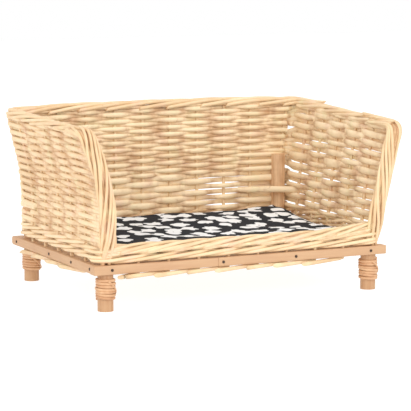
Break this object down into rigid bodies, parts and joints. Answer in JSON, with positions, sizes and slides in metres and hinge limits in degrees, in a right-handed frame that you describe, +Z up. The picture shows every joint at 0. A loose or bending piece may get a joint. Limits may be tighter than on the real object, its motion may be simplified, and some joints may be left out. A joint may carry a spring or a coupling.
{
  "type": "wicker pet bed basket",
  "caption": "Low willow basket on bound legs, open at the front, with flared sides, a batten frame and a loose thin cushion.",
  "frame": {"origin": "on the floor, under the middle of the basket's bounding box", "axes": "+X along the open front, towards the right wall; +Y from the open front towards the back wall; +Z up"},
  "size_m": [0.5054, 0.3401, 0.264],
  "materials": {
    "willow": "peeled willow, satin",
    "batten_wood": "planed softwood, matt",
    "pole_wood": "peeled pole, satin",
    "cane": "split cane, satin",
    "nail_steel": "dark wire nail",
    "cushion_cotton": "printed cotton, black with white shapes",
    "cushion_wadding": "polyester wadding"
  },
  "bodies": {
    "basket": {"batten_front_left": "batten_wood", "batten_front_right": "batten_wood", "batten_back": "batten_wood", "batten_left": "batten_wood", "batten_right": "batten_wood", "batten_nails_front": "nail_steel", "batten_nails_back": "nail_steel", "batten_nails_left": "nail_steel", "batten_nails_right": "nail_steel", "leg_front_left": "pole_wood", "leg_front_right": "pole_wood", "leg_back_left": "pole_wood", "leg_back_right": "pole_wood", "binding_front_left": "cane", "binding_front_right": "cane", "binding_back_left": "cane", "binding_back_right": "cane", "base_sticks": "willow", "base_weave": "willow", "stakes_front": "willow", "stakes_back": "willow", "stakes_left": "willow", "stakes_right": "willow", "weave_front": "willow", "weave_back": "willow", "weave_left": "willow", "weave_right": "willow", "edge_border_left": "willow", "edge_border_right": "willow", "rim_front": "willow", "rim_back": "willow", "rim_left": "willow", "rim_right": "willow"},
    "cushion": {"cushion_cover": "cushion_cotton", "cushion_filling": "cushion_wadding"}
  },
  "joints": [
    {"name": "cushion_lift", "type": "slide", "parent": "basket", "child": "cushion", "axis": [0, 0, 1], "range_m": [0, 0.25]}
  ]
}
